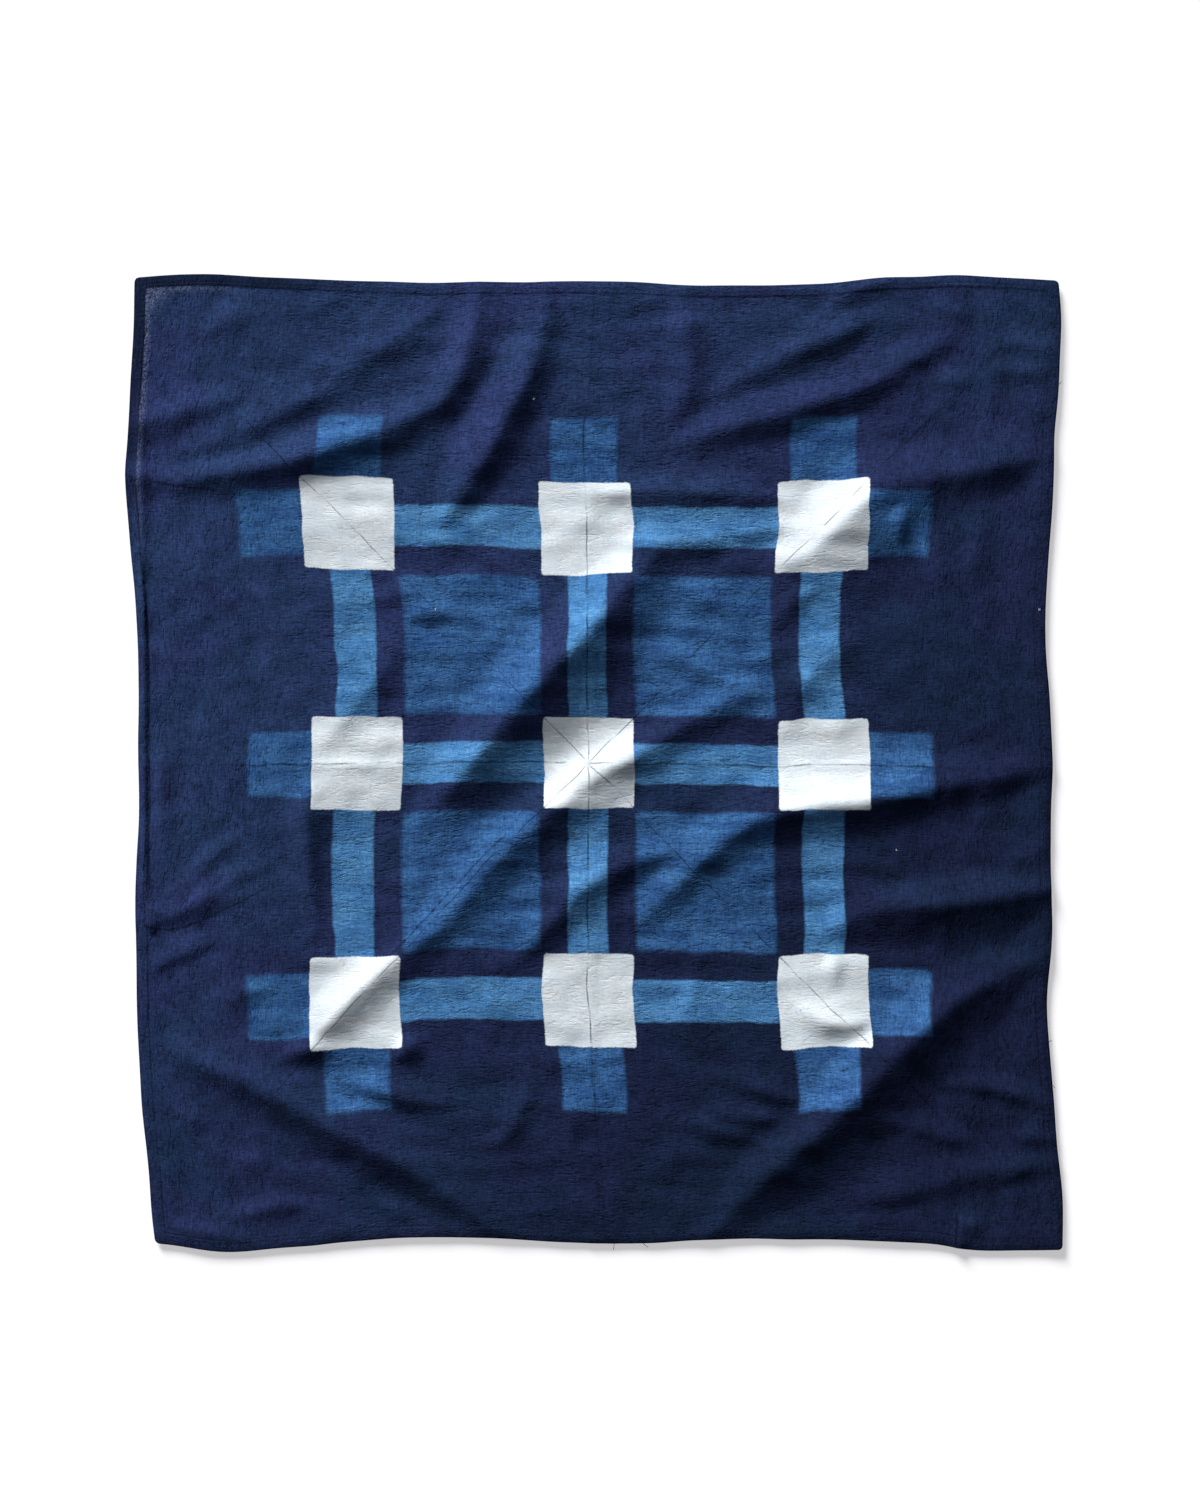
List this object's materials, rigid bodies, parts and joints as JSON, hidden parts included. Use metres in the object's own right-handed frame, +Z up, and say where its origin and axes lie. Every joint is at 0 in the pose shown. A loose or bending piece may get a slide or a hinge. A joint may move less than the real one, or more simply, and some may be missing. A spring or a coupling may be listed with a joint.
{
  "type": "bandana",
  "caption": "Square cotton bandana laid out flat, a thin hemmed sheet with bowed edges and the uneven standing folds it was stored in.",
  "frame": {"origin": "centre of the laid-out cloth on the surface it lies on", "axes": "+Z up from the surface, +Y towards the picture's top edge, +X towards the picture's right edge"},
  "size_m": [0.5413, 0.5642, 0.0143],
  "materials": {
    "cotton": "soft plain-woven cotton dyed deep indigo, with a resist-dyed middle in white and two lighter blues, matt with a faint sheen"
  },
  "bodies": {
    "root": {"cloth": "cotton"}
  },
  "joints": []
}
